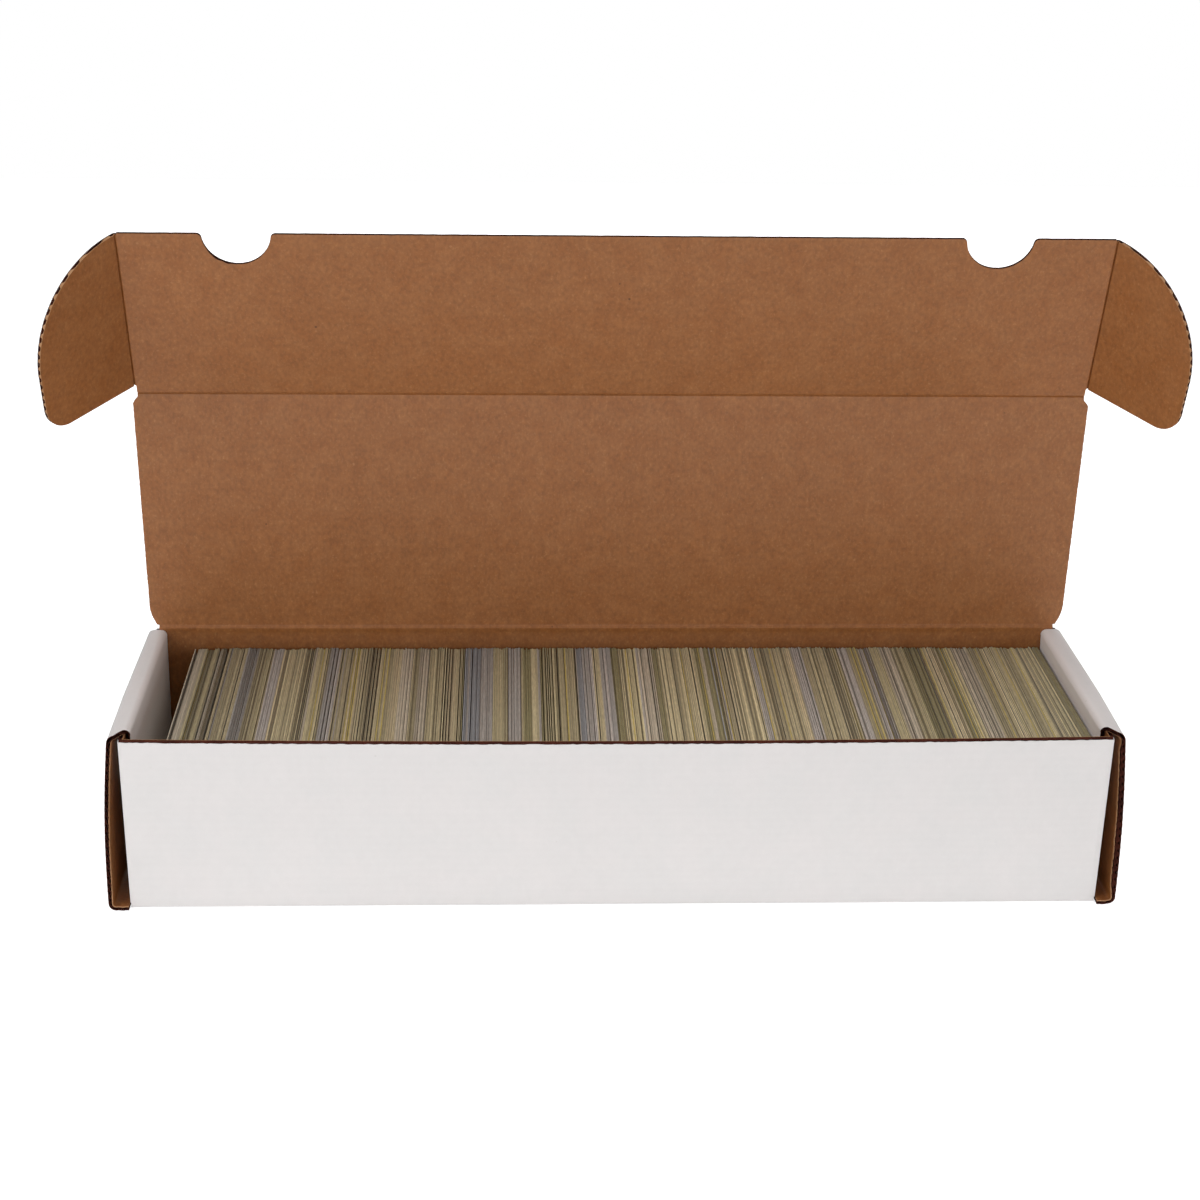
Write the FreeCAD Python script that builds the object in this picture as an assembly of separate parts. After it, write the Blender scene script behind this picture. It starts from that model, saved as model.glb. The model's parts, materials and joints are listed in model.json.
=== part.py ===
import FreeCAD, Part
import math
import os

# Hinged-lid box for standing rows of trading cards, folded from one die-cut blank of corrugated board.
# Millimetres. X runs along the box, Y towards the back wall with the lid, Z up.
# The origin is on the underside, in the middle of the base.

# ---- board ----
board = 1.8                  # thickness of the corrugated board
ply_gap = 0.05               # between boards that lie face to face in a double wall
edge_gap = 0.2               # between a cut edge and the board that it stops short of

# ---- cards ----
card_height = 63.5
card_length = 88.9
card_corner_radius = 0.4     # cut square, a little worn
card_back_gap = 0.6          # back wall to the cards
pack_count = 8               # the row is divided into this many packs
pack_gap = 0.15
row_free_space = 12.15       # left end of the box to the first card
row_end_gap = 4.15           # last card to the right end of the box

# ---- room for the cards ----
inner_length = 368.3
depth_slack = 6.35           # depth of the box beyond one card
head_room = 6.7              # cards' top edges to the front wall's top edge
front_bow = 2.5              # how far the front wall's top edge bows outwards at mid-length

# ---- double-walled ends ----
ear_slot_clearance = 0.5     # width of the ear's slot beyond one board
end_lean = 2.4               # how far the outer end panel's foot stands outside its top
strip_drop = 0.3             # how far the strip's underside lies below the front wall's top edge
mitre = 7.5                  # cut across the front end of the strip
inner_panel_front_gap = 5.0  # from the front wall to the inner end panel
inner_panel_back_gap = 0.6
tab_width = 24.0             # locking tabs of the inner end panel
tab_from_wall = 12.625       # front or back wall to the nearest tab
tab_clearance = 0.15         # all round a tab in its slot

# ---- corner flaps ----
flap_meeting_gap = 5.25      # between the tips of the front and back flaps
flap_taper = 4.0             # how much each long edge of a flap comes in at its tip

# ---- lid, tuck flap and ears ----
lid_side_inset = 2.4         # lid's side edge to the outer end panel's top
lid_corner_inset = 3.4       # how far the lid narrows at the back crease
lid_corner_height = 10.5     # over which it widens again
lid_seat_gap = 0.2           # between the closed lid and the end strips
back_crease_gap = 0.3        # between the lid's rolled back edge and the back wall
tuck_front_gap = 2.35        # between the closed tuck flap and the bowed front wall
tuck_foot_gap = 2.1          # between the closed tuck flap's free edge and the shelf
ear_length = 42.5
ear_strip_gap = 1.5          # between the ear's straight edge and the end strip, with the lid closed
ear_shoulder = 28.0          # tuck crease to the height where the ear is widest
ear_corner_radius = 10.0
ear_side_gap = 0.15          # between a folded ear and the front wall's end
crease_gap = 0.15            # half the gap left along each crease of the lid
notch_from_side = 44.5       # tuck flap's side crease to a thumb notch's middle
notch_radius = 12.9          # its half circle is centred on the free edge
notch_lip_radius = 1.9
lid_lean = 2.4               # degrees forward from upright, as it stands open
tuck_bend = 14.2             # degrees that the tuck flap leans forward of the lid
ear_fold = 50.0              # degrees that the ears are folded in from the tuck flap

# ---- worked out from the above ----
inner_depth = card_length + depth_slack
wall_height = card_height + head_room
front_top = board + wall_height
strip_bottom = front_top - strip_drop
strip_top = strip_bottom + board
half_depth_in = inner_depth / 2
half_depth_out = half_depth_in + board
inner_face = inner_length / 2
inner_back_face = inner_face + board
flap_inner = inner_back_face + ply_gap
flap_outer = flap_inner + board
end_inner_top = flap_outer + board + ear_slot_clearance
end_outer_top = end_inner_top + board
end_outer_foot = end_outer_top + end_lean
lid_pivot_y = half_depth_in + board / 2
lid_pivot_z = strip_top + lid_seat_gap + board / 2
back_wall_top = lid_pivot_z - board / 2 - back_crease_gap
lid_inner_y = lid_pivot_y - board / 2
lid_length = lid_pivot_y + half_depth_out + front_bow + tuck_front_gap
tuck_length = lid_pivot_z - board / 2 - tuck_foot_gap
tuck_pivot_z = lid_pivot_z + lid_length
ear_pivot_x = flap_outer + ear_side_gap
ear_foot = board + lid_seat_gap + ear_strip_gap
notch_x = ear_pivot_x - notch_from_side
flap_length = (inner_depth - flap_meeting_gap) / 2
tab_y = half_depth_in - tab_from_wall - tab_width / 2
row_start = -inner_face + row_free_space
row_end = inner_face - row_end_gap

X_AXIS = FreeCAD.Vector(1, 0, 0)
Z_AXIS = FreeCAD.Vector(0, 0, 1)
DIAGONAL = math.sqrt(0.5)    # a quarter circle's middle, as a share of its radius
OVERCUT = 1.0                # how far a cutting block reaches past the face that it cuts


def vec(x, y, z):
    return FreeCAD.Vector(x, y, z)


def block(x0, x1, y0, y1, z0, z1):
    """Straight block between two corners, given in any order."""
    low = vec(min(x0, x1), min(y0, y1), min(z0, z1))
    return Part.makeBox(abs(x1 - x0), abs(y1 - y0), abs(z1 - z0), low)


def prism(points, along):
    """Polygon through the points, pushed along a vector."""
    face = Part.Face(Part.makePolygon(points + points[:1]))
    return face.extrude(along)


def sheet(edges, along):
    """Flat outline made of edges in order, pushed along a vector."""
    wire = Part.Wire(Part.__sortEdges__(edges))
    return Part.Face(wire).extrude(along)


def line(a, b):
    return Part.LineSegment(a, b).toShape()


def arc(a, middle, b):
    return Part.Arc(a, middle, b).toShape()


def quarter_ellipse(centre, across, up):
    """Quarter of an ellipse, from its end across to its end above."""
    long_way, short_way = (across, up) if across.Length > up.Length else (up, across)
    ellipse = Part.Ellipse(centre + long_way, centre + short_way, centre)
    return Part.ArcOfEllipse(ellipse, 0, math.pi / 2).toShape()


def leaned(shape, bends_tuck=False):
    """Stands a lid part, made upright, at its resting angle."""
    result = shape.copy()
    if bends_tuck:
        result.rotate(vec(0, lid_inner_y, tuck_pivot_z), X_AXIS, tuck_bend)
    result.rotate(vec(0, lid_pivot_y, lid_pivot_z), X_AXIS, lid_lean)
    return result


def bottom_panel():
    """Floor. Its ends reach past the front and back walls, and four slots take the locking tabs."""
    corner_x = flap_outer + edge_gap
    end_x = end_outer_foot - board - 2 * ply_gap
    quarter = [(end_x, half_depth_out), (corner_x, half_depth_out), (corner_x, half_depth_in)]
    outline = [(x, -y) for x, y in quarter]
    outline += [(-x, -y) for x, y in reversed(quarter)]
    outline += [(-x, y) for x, y in quarter]
    outline += [(x, y) for x, y in reversed(quarter)]
    panel = prism([vec(x, y, 0) for x, y in outline], vec(0, 0, board))
    half_tab = tab_width / 2 + tab_clearance
    for side in (-1, 1):
        for row in (-1, 1):
            y = row * tab_y
            slot = block(side * (inner_face - tab_clearance), side * (inner_back_face + ply_gap),
                         y - half_tab, y + half_tab, -OVERCUT, board + OVERCUT)
            panel = panel.cut(slot)
    return panel


def front_wall():
    """Front wall. Straight along its foot, bowed outwards along its top edge."""
    out, back = -half_depth_out, -half_depth_in
    half = flap_outer
    foot = [vec(-half, out, 0), vec(half, out, 0), vec(half, back, 0), vec(-half, back, 0)]
    top = [p + vec(0, 0, front_top) for p in foot]
    foot_wire = Part.makePolygon(foot + foot[:1])
    top_wire = Part.Wire([
        arc(top[0], vec(0, out - front_bow, front_top), top[1]),
        line(top[1], top[2]),
        arc(top[2], vec(0, back - front_bow, front_top), top[3]),
        line(top[3], top[0]),
    ])
    return Part.makeLoft([foot_wire, top_wire], True, True)


def back_wall():
    """Back wall, up to the lid's crease."""
    return block(-flap_outer, flap_outer, half_depth_in, half_depth_out, 0, back_wall_top)


def end_outer(side):
    """Outer ply of an end. It leans in from its foot to its top."""
    section = [
        vec(side * end_outer_foot, -half_depth_out, 0),
        vec(side * end_outer_top, -half_depth_out, strip_bottom),
        vec(side * end_inner_top, -half_depth_out, strip_bottom),
        vec(side * (end_outer_foot - board), -half_depth_out, 0),
    ]
    return prism(section, vec(0, 2 * half_depth_out, 0))


def end_top(side):
    """Strip that joins the two plies of an end over the top, mitred at the front."""
    outline = [
        vec(side * end_outer_top, -half_depth_out, strip_bottom),
        vec(side * end_outer_top, half_depth_in - edge_gap, strip_bottom),
        vec(side * inner_face, half_depth_in - edge_gap, strip_bottom),
        vec(side * inner_face, -half_depth_out + mitre, strip_bottom),
    ]
    return prism(outline, vec(0, 0, board))


def end_inner(side):
    """Inner ply of an end, with two locking tabs that go down into the floor's slots."""
    panel = block(side * inner_face, side * inner_back_face,
                  -half_depth_in + inner_panel_front_gap, half_depth_in - inner_panel_back_gap,
                  board, strip_bottom)
    for row in (-1, 1):
        y = row * tab_y
        tab = block(side * inner_face, side * inner_back_face,
                    y - tab_width / 2, y + tab_width / 2, tab_clearance, board)
        panel = panel.fuse(tab)
    return panel.removeSplitter()


def corner_flap(side, row):
    """Flap folded in from the end of the front wall (row -1) or back wall (row 1), inside the double end."""
    root = row * half_depth_in
    tip = row * (half_depth_in - flap_length)
    foot = board + edge_gap
    head = strip_bottom - edge_gap
    outline = [
        vec(side * flap_inner, root, foot),
        vec(side * flap_inner, root, head),
        vec(side * flap_inner, tip, head - flap_taper),
        vec(side * flap_inner, tip, foot + flap_taper),
    ]
    return prism(outline, vec(side * board, 0, 0))


def lid_panel():
    """Lid. It narrows in a curve towards the back crease, where its edge is rolled about the hinge line."""
    half = end_outer_top - lid_side_inset
    narrow = half - lid_corner_inset
    y = lid_inner_y
    low = lid_pivot_z
    high = tuck_pivot_z - crease_gap
    wide_at = low + lid_corner_height
    # the corner is an arc that runs smoothly into the side edge
    radius = (lid_corner_inset ** 2 + lid_corner_height ** 2) / (2 * lid_corner_inset)
    half_turn = math.asin(lid_corner_height / radius) / 2
    mid_x = half - radius * (1 - math.cos(half_turn))
    mid_z = wide_at - radius * math.sin(half_turn)
    edges = [
        line(vec(-narrow, y, low), vec(narrow, y, low)),
        arc(vec(narrow, y, low), vec(mid_x, y, mid_z), vec(half, y, wide_at)),
        line(vec(half, y, wide_at), vec(half, y, high)),
        line(vec(half, y, high), vec(-half, y, high)),
        line(vec(-half, y, high), vec(-half, y, wide_at)),
        arc(vec(-half, y, wide_at), vec(-mid_x, y, mid_z), vec(-narrow, y, low)),
    ]
    rolled_edge = Part.makeCylinder(board / 2, 2 * narrow, vec(-narrow, lid_pivot_y, low), X_AXIS)
    return leaned(sheet(edges, vec(0, board, 0)).fuse(rolled_edge).removeSplitter())


def tuck_flap():
    """Flap that closes down outside the front wall, with two thumb notches in its free edge."""
    half = ear_pivot_x - crease_gap
    y = lid_inner_y
    low = tuck_pivot_z + crease_gap
    top = tuck_pivot_z + tuck_length
    r, lip = notch_radius, notch_lip_radius
    # a lip's arc touches the free edge and the half circle
    reach = math.sqrt(r ** 2 + 2 * r * lip)
    lip_end = math.pi - math.asin(lip / (r + lip))
    lip_middle = (math.pi / 2 + lip_end) / 2

    def on_lip(centre, side, angle):
        return vec(centre + side * (reach + lip * math.cos(angle)), y, top - lip + lip * math.sin(angle))

    edges = [
        line(vec(-half, y, low), vec(half, y, low)),
        line(vec(half, y, low), vec(half, y, top)),
    ]
    start = half
    for centre in (notch_x, -notch_x):
        right, left = centre + reach, centre - reach
        right_end, left_end = on_lip(centre, 1, lip_end), on_lip(centre, -1, lip_end)
        edges.append(line(vec(start, y, top), vec(right, y, top)))
        edges.append(arc(vec(right, y, top), on_lip(centre, 1, lip_middle), right_end))
        edges.append(arc(right_end, vec(centre, y, top - r), left_end))
        edges.append(arc(left_end, on_lip(centre, -1, lip_middle), vec(left, y, top)))
        start = left
    edges.append(line(vec(start, y, top), vec(-half, y, top)))
    edges.append(line(vec(-half, y, top), vec(-half, y, low)))
    return leaned(sheet(edges, vec(0, board, 0)), bends_tuck=True)


def ear(side):
    """Rounded ear on a side edge of the tuck flap. It slides into the slot in the end of the box."""
    y = lid_inner_y
    root = side * (ear_pivot_x + crease_gap)
    tip = side * (ear_pivot_x + ear_length)
    foot = tuck_pivot_z + ear_foot
    shoulder = tuck_pivot_z + ear_shoulder
    top = tuck_pivot_z + tuck_length
    r = ear_corner_radius
    corner = vec(tip - side * r, y, foot + r)
    corner_bend = corner + vec(side * r * DIAGONAL, 0, -r * DIAGONAL)
    centre = vec(root, y, shoulder)
    edges = [
        quarter_ellipse(centre, vec(tip - root, 0, 0), vec(0, 0, top - shoulder)),
        line(vec(tip, y, shoulder), vec(tip, y, foot + r)),
        arc(vec(tip, y, foot + r), corner_bend, vec(corner.x, y, foot)),
        line(vec(corner.x, y, foot), vec(root, y, foot)),
        line(vec(root, y, foot), vec(root, y, top)),
    ]
    flat = sheet(edges, vec(0, board, 0))
    flat.rotate(vec(side * ear_pivot_x, lid_inner_y, 0), Z_AXIS, -side * ear_fold)
    return leaned(flat, bends_tuck=True)


def card_pack(number):
    """A block of standing cards."""
    pitch = (row_end - row_start + pack_gap) / pack_count
    x = row_start + number * pitch
    back = half_depth_in - card_back_gap
    front = back - card_length
    foot, head = board, board + card_height
    r = card_corner_radius
    cut = r * (1 - DIAGONAL)
    edges = [
        line(vec(x, front + r, foot), vec(x, back - r, foot)),
        arc(vec(x, back - r, foot), vec(x, back - cut, foot + cut), vec(x, back, foot + r)),
        line(vec(x, back, foot + r), vec(x, back, head - r)),
        arc(vec(x, back, head - r), vec(x, back - cut, head - cut), vec(x, back - r, head)),
        line(vec(x, back - r, head), vec(x, front + r, head)),
        arc(vec(x, front + r, head), vec(x, front + cut, head - cut), vec(x, front, head - r)),
        line(vec(x, front, head - r), vec(x, front, foot + r)),
        arc(vec(x, front, foot + r), vec(x, front + cut, foot + cut), vec(x, front + r, foot)),
    ]
    return sheet(edges, vec(pitch - pack_gap, 0, 0))


def build():
    """Every piece of the box by node name."""
    nodes = {
        "bottom_panel": bottom_panel(),
        "front_wall": front_wall(),
        "back_wall": back_wall(),
        "lid_panel": lid_panel(),
        "tuck_flap": tuck_flap(),
    }
    for name, side in (("left", -1), ("right", 1)):
        nodes[name + "_end_outer"] = end_outer(side)
        nodes[name + "_end_top"] = end_top(side)
        nodes[name + "_end_inner"] = end_inner(side)
        nodes["front_" + name + "_flap"] = corner_flap(side, -1)
        nodes["back_" + name + "_flap"] = corner_flap(side, 1)
        nodes[name + "_ear"] = ear(side)
    for number in range(pack_count):
        nodes["card_pack_%d" % (number + 1)] = card_pack(number)
    return nodes


os.makedirs("parts", exist_ok=True)
for node, shape in build().items():
    shape.exportStep("parts/%s.step" % node)
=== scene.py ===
import json
import math
import bpy
import numpy as np
from mathutils import Matrix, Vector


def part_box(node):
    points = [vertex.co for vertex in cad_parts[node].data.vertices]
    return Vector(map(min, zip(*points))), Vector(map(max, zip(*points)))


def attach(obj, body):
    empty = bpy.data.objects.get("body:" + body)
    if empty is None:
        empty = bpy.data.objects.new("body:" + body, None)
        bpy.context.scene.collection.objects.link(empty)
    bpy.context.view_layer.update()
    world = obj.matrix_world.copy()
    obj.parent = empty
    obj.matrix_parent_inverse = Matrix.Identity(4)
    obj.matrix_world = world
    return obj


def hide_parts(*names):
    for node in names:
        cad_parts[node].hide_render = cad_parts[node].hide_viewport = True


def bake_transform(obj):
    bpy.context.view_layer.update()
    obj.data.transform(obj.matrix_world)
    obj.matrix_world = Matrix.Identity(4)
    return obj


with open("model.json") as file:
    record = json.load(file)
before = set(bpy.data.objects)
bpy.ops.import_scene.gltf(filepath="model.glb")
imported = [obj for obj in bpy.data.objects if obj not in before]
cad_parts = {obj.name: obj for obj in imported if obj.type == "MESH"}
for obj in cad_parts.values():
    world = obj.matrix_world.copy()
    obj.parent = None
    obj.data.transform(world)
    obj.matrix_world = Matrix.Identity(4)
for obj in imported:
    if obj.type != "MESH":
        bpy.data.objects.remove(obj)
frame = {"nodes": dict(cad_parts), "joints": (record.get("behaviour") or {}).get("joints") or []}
scene = bpy.context.scene
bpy.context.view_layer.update()  # the CAD model's own box

# Card storage box of white-faced corrugated board, open, with a row of cards. Lengths are in
# millimetres until a mesh is written, and every board is a sheet with three directions: s across the
# flutes, t along them, w through the thickness from the kraft side to the white side.

toMetres = 0.001
sideWord = {-1: "left", 1: "right"}


def nodeBox(name):  # lowest and highest corner of a CAD node, in millimetres
    low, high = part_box(name)
    return np.array(low) / toMetres, np.array(high) / toMetres


def joint(name):
    return next(j for j in frame["joints"] if j["name"] == name)


endTopLow, endTopHigh = nodeBox("right_end_top")
endInnerLow, endInnerHigh = nodeBox("right_end_inner")
frontLow, frontHigh = nodeBox("front_wall")
backLow, backHigh = nodeBox("back_wall")
flapLow, flapHigh = nodeBox("front_right_flap")
endOuterHigh, lidHigh, tuckHigh = (nodeBox(n)[1] for n in ("right_end_outer", "lid_panel", "tuck_flap"))

board = endTopHigh[2] - endTopLow[2]  # thickness of every board
size = {
    "wallHalf": frontHigh[0],  # half the width of the front and back walls
    "halfOut": backHigh[1],  # half the depth over the walls, and inside them
    "halfIn": backLow[1],
    "backTop": backHigh[2],
    "stripBottom": endTopLow[2],  # the strip over the top of a double end
    "stripBack": endTopHigh[1],
    "endTop": endTopHigh[0],
    "endFoot": endOuterHigh[0],
    "innerFace": endTopLow[0],  # the inner ply of a double end
    "innerBack": endInnerHigh[0],
    "innerFront": endInnerLow[1],
    "innerRear": endInnerHigh[1],
    "flapInner": flapLow[0],
    "flapTip": flapHigh[1],
    "lidHalf": lidHigh[0],
}

lidHinge, tuckCrease, earCrease = joint("lid_hinge"), joint("tuck_crease"), joint("right_ear_crease")
lidLean = 90 + lidHinge["range_deg"][0]  # degrees forward of upright
tuckBend = tuckCrease["range_deg"][1]  # degrees forward of the lid
earFold = earCrease["range_deg"][1]  # degrees in from the tuck flap
lidPivot = np.array(lidHinge["pos_m"][1:]) / toMetres
tuckPivot = np.array(tuckCrease["pos_m"][1:]) / toMetres
earPivotX = earCrease["pos_m"][0] / toMetres
kraftY = lidPivot[0] - board / 2  # kraft face of the lid while it stands upright
lidLength = math.sqrt(((tuckPivot - lidPivot) ** 2).sum() - (board / 2) ** 2)
lidTop = lidPivot[1] + lidLength  # the tuck crease while the lid stands upright
tuckSlope = math.radians(lidLean + tuckBend)
tuckLength = (tuckHigh[2] - tuckPivot[1] - board * math.sin(tuckSlope)) / math.cos(tuckSlope)
creaseHalf = lidPivot[1] - size["backTop"]  # half the width of the strips that bend at a crease


def stack(x, y, z):
    return np.stack(np.broadcast_arrays(x, y, z), -1)


def turned(y, z, pivot, degrees):
    # y and z turned about X by an angle: y' = y cos a - z sin a, z' = y sin a + z cos a, from the pivot
    a = np.radians(degrees)
    dy, dz = y - pivot[0], z - pivot[1]
    return pivot[0] + dy * np.cos(a) - dz * np.sin(a), pivot[1] + dy * np.sin(a) + dz * np.cos(a)


def smooth(x):  # 0 below 0, 1 above 1, 3x^2 - 2x^3 between
    x = np.clip(x, 0, 1)
    return x * x * (3 - 2 * x)


def linear(hexColour):
    # sRGB hex to linear: c / 12.92 near black, else ((c + 0.055) / 1.055) ^ 2.4
    c = np.array([int(hexColour[i:i + 2], 16) for i in (1, 3, 5)]) / 255
    return (*np.where(c <= 0.04045, c / 12.92, ((c + 0.055) / 1.055) ** 2.4).tolist(), 1.0)


def addNode(tree, kind, output=0, settings=None, links=None):
    # gives one output of a new node; keys in small letters are the node's own settings, the others
    # are its inputs
    node = tree.nodes.new("ShaderNode" + kind)
    for key, value in (settings or {}).items():
        if isinstance(key, str) and key[0].islower():
            setattr(node, key, value)
        else:
            node.inputs[key].default_value = value
    for key, source in (links or {}).items():
        tree.links.new(source, node.inputs[key])
    return node.outputs[output]


def newMaterial(name, look):
    material = bpy.data.materials.new(name)
    material.use_nodes = True
    shader = material.node_tree.nodes["Principled BSDF"]
    shader.inputs["Roughness"].default_value = look["roughness"]
    shader.inputs["Specular IOR Level"].default_value = look["specular"]
    return material, material.node_tree, shader


def addObject(name, data):
    thing = bpy.data.objects.new(name, data)
    scene.collection.objects.link(thing)
    return thing


def perMetre(millimetres):  # a texture's scale from the size of its features
    return 1 / (millimetres * toMetres)


def paperMaterial(name, look):
    # colour = two shades blended by slow patches, with light fibres, times clouds, mottle and the
    # flutes' ghost, then specks; a speck is a ball round a Voronoi point, where its random value is low
    # or high enough; height = fibres + the flutes showing through the liner as shallow waves. Inputs 1
    # to 4 of a Map Range are its from low, from high, to low and to high.
    material, tree, shader = newMaterial(name, look)
    where = addNode(tree, "TexCoord", "Object")
    grain = addNode(tree, "Mapping", 0, {"Scale": look["grain"]}, {"Vector": where})
    noises = [addNode(tree, "TexNoise", "Fac", {"Scale": perMetre(look[word]), "Detail": detail},
                      {"Vector": vector})
              for word, detail, vector in (("fibreSize", 2.0, grain), ("patchSize", 3.0, where),
                                           ("cloudSize", 3.0, where), ("mottleSize", 4.0, grain))]
    fibres, patches, clouds, mottle = noises
    flutes = addNode(tree, "TexWave", "Fac", {
        "wave_type": "BANDS", "bands_direction": "Z", "Distortion": 0.6, "Detail": 1.0,
        "Scale": perMetre(look["flutePitch"]) / math.tau * 2}, {"Vector": where})
    colour, shade = None, None
    for source, low, high, most, paint in ((patches, 0.35, 0.65, 1.0, "second"),
                                           (fibres, 0.56, 0.76, look["fibres"], "fibre")):
        much = addNode(tree, "MapRange", 0, {1: low, 2: high, 3: 0.0, 4: most}, {0: source})
        colour = addNode(tree, "Mix", 2, {"data_type": "RGBA", 6: linear(look["first"]),
                                          7: linear(look[paint])},
                         {0: much, 6: colour} if colour else {0: much})
    for source, low, high, amount in ((clouds, 0.3, 0.7, "clouds"), (mottle, 0.3, 0.7, "mottle"),
                                      (flutes, 0.0, 1.0, "fluteShade")):
        level = addNode(tree, "MapRange", 0, {1: low, 2: high, 3: 1 - look[amount], 4: 1 + look[amount]},
                        {0: source})
        shade = addNode(tree, "Math", 0, {"operation": "MULTIPLY", 1: 1.0},
                        {0: level, 1: shade} if shade else {0: level})
    colour = addNode(tree, "VectorMath", 0, {"operation": "SCALE"}, {0: colour, "Scale": shade})
    far = addNode(tree, "TexVoronoi", "Distance", {"Scale": perMetre(look["speckSpacing"])},
                  {"Vector": where})
    random = addNode(tree, "SeparateColor", "Red", {}, {"Color": far.node.outputs["Color"]})
    reach = look["speckRadius"] / look["speckSpacing"]
    ball = addNode(tree, "MapRange", 0, {1: 0.5 * reach, 2: reach, 3: 1.0, 4: 0.0}, {0: far})
    for start, below, above, paint in ((look["lightShare"], look["lightSpeck"], 0.0, "fibre"),
                                       (1 - look["darkShare"], 0.0, look["darkSpeck"], "speck")):
        here = addNode(tree, "MapRange", 0, {1: start, 2: start + 0.001, 3: below, 4: above}, {0: random})
        here = addNode(tree, "Math", 0, {"operation": "MULTIPLY"}, {0: ball, 1: here})
        colour = addNode(tree, "Mix", 2, {"data_type": "RGBA", 7: linear(look[paint])}, {0: here, 6: colour})
    tree.links.new(colour, shader.inputs["Base Color"])
    deep = look["fluteDepth"] / look["fibreDepth"]
    height = addNode(tree, "Math", 0, {"operation": "MULTIPLY_ADD", 1: deep}, {0: flutes, 2: fibres})
    bump = addNode(tree, "Bump", 0, {"Strength": 1.0, "Distance": look["fibreDepth"] * toMetres},
                   {"Height": height})
    tree.links.new(bump, shader.inputs["Normal"])
    return material


# Kraft linerboard: unbleached wood pulp pressed on a paper machine. The eye sees an even warm brown,
# a little cloudy, with fine short fibres, here and there a dark bark speck or a pale one, the flutes
# very faintly through it, and a low broad sheen that pales it where it faces something white. Real
# fibres are some 0.03 mm wide: these, and the mottle, are as coarse as they need to be to show.
kraftLook = {
    "first": "#92592A", "second": "#986032", "fibre": "#B98250", "speck": "#40230F",
    "cloudSize": 60.0, "clouds": 0.025, "patchSize": 9.0,
    "mottleSize": 1.1, "mottle": 0.17, "grain": (0.8, 0.8, 0.6),
    "fibreSize": 0.6, "fibres": 0.36,
    "speckSpacing": 4.0, "speckRadius": 0.62, "darkShare": 0.009, "darkSpeck": 0.7,
    "lightShare": 0.05, "lightSpeck": 0.4,
    "flutePitch": 3.2, "fluteShade": 0.008, "fluteDepth": 0.012, "fibreDepth": 0.022,
    "roughness": 0.5, "specular": 0.48,
}
kraftLiner = paperMaterial("kraftLinerboard", kraftLook)

# Clay-coated white liner: bleached paper with a thin mineral coat, calendered. The eye sees an even,
# slightly warm white with faint grey clouds, a low sheen and hardly any fibre.
whiteLook = dict(kraftLook, first="#ECE8E7", second="#EAE7E6", fibre="#F0EEEC", speck="#CFCAC6",
                 clouds=0.008, patchSize=18.0, mottleSize=2.4, mottle=0.010, fibres=0.2,
                 darkShare=0.006, darkSpeck=0.4, lightShare=0.0, fluteShade=0.003, fluteDepth=0.018,
                 fibreDepth=0.010, roughness=0.55, specular=0.4)
whiteLiner = paperMaterial("clayCoatedWhiteLiner", whiteLook)

# Corrugating medium: recycled pulp, steamed and pressed into flutes, a dull red brown of its own. Here
# it is made much darker than that, as painted shade of the shadowed flutes inside every cut edge.
mediumPaintedShadeLook = dict(kraftLook, first="#54291E", second="#3C1B15", fibre="#6B402F", mottle=0.16,
                  darkShare=0.0, lightShare=0.0, fluteShade=0.0, fluteDepth=0.0, roughness=0.95,
                  specular=0.15)
mediumWithPaintedShade = paperMaterial("mediumWithPaintedShade", mediumPaintedShadeLook)

# Cut edge of the kraft liner: torn fibres where the die went through, paler and rougher than the face.
cutLook = dict(mediumPaintedShadeLook, first="#B68A66", second="#A87C58", fibre="#D2AE8A", mottle=0.12,
               mottleSize=0.9, fibres=0.5, specular=0.1)
cutEdge = paperMaterial("kraftCutEdge", cutLook)

boardMaterials = [kraftLiner, whiteLiner, mediumWithPaintedShade, cutEdge]
# the medium's darkened colour, painted shade, also covers the white liner's cut rims on the flaps and ends,
# and both cut rims of the tuck flap
kraftFace, whiteFace, mediumPaintedShadeFace, rimFace = range(4)
print("papers made")

paper = {"liner": 0.28, "medium": 0.2, "pitch": 3.2, "perWave": 10, "recess": 0.25, "arcSteps": 8,
         "sharpFrom": 38.0}


def closedSheet(place, s, t, low, high, faces):
    # the grid s, t at thickness low and at thickness high, with quads round the rim between them;
    # faces are the materials of the low side, the high side and the rim
    rows, columns = s.shape
    a, b = place(s, t, low), place(s, t, high)
    index = np.arange(rows * columns).reshape(rows, columns)
    quads = np.stack([index[:-1, :-1], index[1:, :-1], index[1:, 1:], index[:-1, 1:]], -1).reshape(-1, 4)
    ring = np.concatenate([index[:-1, 0], index[-1, :-1], index[:0:-1, -1], index[0, :0:-1]])
    after = np.roll(ring, -1)
    top = rows * columns
    rim = np.stack([ring, after, after + top, ring + top], -1)
    i, j = min(rows // 2, rows - 2), min(columns // 2, columns - 2)
    across, along = a[i + 1, j] - a[i, j], a[i, j + 1] - a[i, j]
    allFaces = np.concatenate([quads[:, ::-1], quads + top, rim])
    if np.dot(np.cross(across, along), b[i, j] - a[i, j]) < 0:
        allFaces = allFaces[:, ::-1]
    kinds = np.repeat(faces, [len(quads), len(quads), len(rim)])
    return np.concatenate([a.reshape(-1, 3), b.reshape(-1, 3)]), allFaces, kinds


def liners(place, s, t, kraft=paper["liner"], whiteRim=whiteFace, kraftRim=rimFace):
    # the two flat papers of the board
    return [closedSheet(place, s, t, 0.0, kraft, (kraftFace, mediumPaintedShadeFace, kraftRim)),
            closedSheet(place, s, t, board - paper["liner"], board, (mediumPaintedShadeFace, whiteFace, whiteRim))]


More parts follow.
